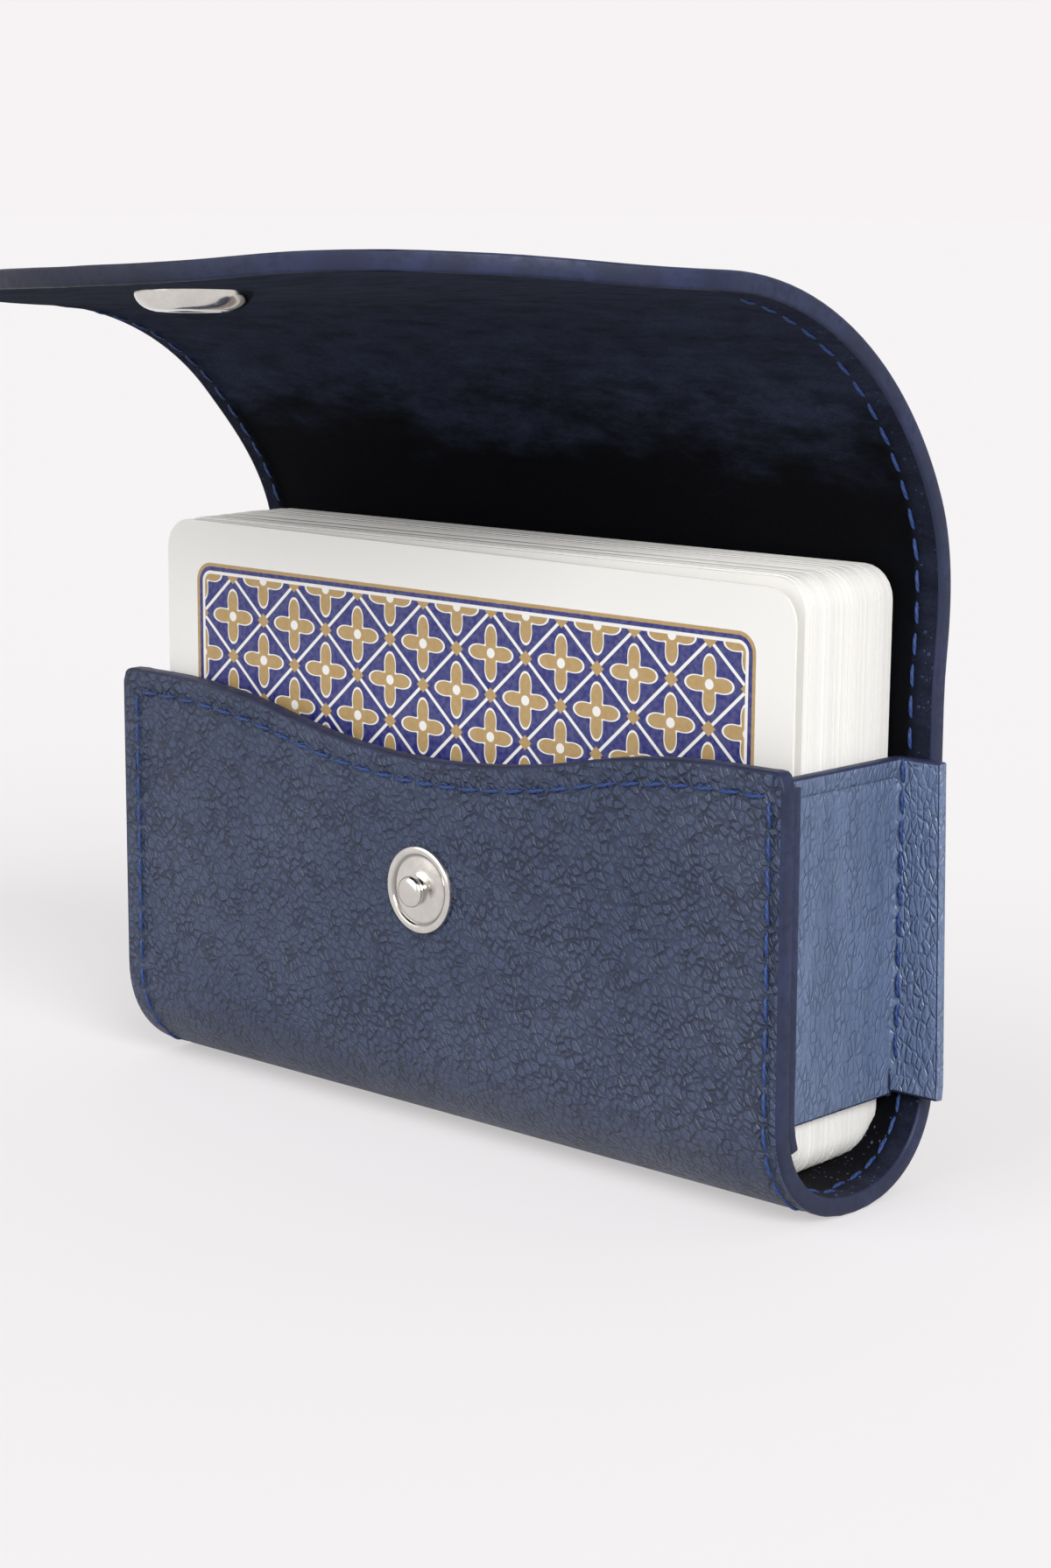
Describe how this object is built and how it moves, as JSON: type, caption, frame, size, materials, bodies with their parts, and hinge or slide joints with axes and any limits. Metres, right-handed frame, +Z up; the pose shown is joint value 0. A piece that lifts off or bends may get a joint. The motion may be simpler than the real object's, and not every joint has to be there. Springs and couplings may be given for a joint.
{
  "type": "playing card case",
  "caption": "Landscape leather case for playing cards: round-bottomed pocket with gusseted ends, a thumb dip in the front edge and an over-the-top flap closed by a press stud.",
  "frame": {"origin": "middle of the flat foot under the pocket, on the surface that the case stands on", "axes": "+X along the case, to the right as seen from the front; -Y to the front, where the stud is; +Z up"},
  "size_m": [0.098, 0.0724, 0.0955],
  "materials": {
    "leather": "pebbled, matt",
    "suede": "napped",
    "thread": "waxed thread",
    "nickel": "polished nickel",
    "card": "smooth coated"
  },
  "bodies": {
    "case": {"wrap_leather": "leather", "wrap_lining": "suede", "gusset_left": "leather", "gusset_right": "leather", "seam_left": "thread", "seam_right": "thread", "seam_front_edge": "thread", "snap_stud": "nickel", "stud_rivet": "nickel", "playing_cards": "card", "front_card": "card"},
    "flap_1": {"flap_leather_1": "leather", "flap_lining_1": "suede", "flap_seam_1": "thread"},
    "flap_2": {"flap_leather_2": "leather", "flap_lining_2": "suede", "flap_seam_2": "thread"},
    "flap_3": {"flap_leather_3": "leather", "flap_lining_3": "suede", "flap_seam_3": "thread"},
    "flap_4": {"flap_leather_4": "leather", "flap_lining_4": "suede", "flap_seam_4": "thread", "snap_cap": "nickel", "snap_socket": "nickel", "socket_spring": "nickel"}
  },
  "joints": [
    {"name": "flap_fold_1", "type": "hinge", "parent": "case", "child": "flap_1", "pos_m": [0, 0.01078, 0.06535], "axis": [1, 0, 0], "range_deg": [-22, 23.25]},
    {"name": "flap_fold_2", "type": "hinge", "parent": "flap_1", "child": "flap_2", "pos_m": [0, 0.00832, 0.07187], "axis": [1, 0, 0], "range_deg": [-22, 23.25]},
    {"name": "flap_fold_3", "type": "hinge", "parent": "flap_2", "child": "flap_3", "pos_m": [0, 0.00147, 0.08144], "axis": [1, 0, 0], "range_deg": [-22, 23.25]},
    {"name": "flap_fold_4", "type": "hinge", "parent": "flap_3", "child": "flap_4", "pos_m": [0, -0.00391, 0.08587], "axis": [1, 0, 0], "range_deg": [-22, 23.25]}
  ],
  "couplings": [
    {"joint": "flap_fold_2", "follows": "flap_fold_1", "ratio": 1},
    {"joint": "flap_fold_3", "follows": "flap_fold_1", "ratio": 1},
    {"joint": "flap_fold_4", "follows": "flap_fold_1", "ratio": 1}
  ]
}
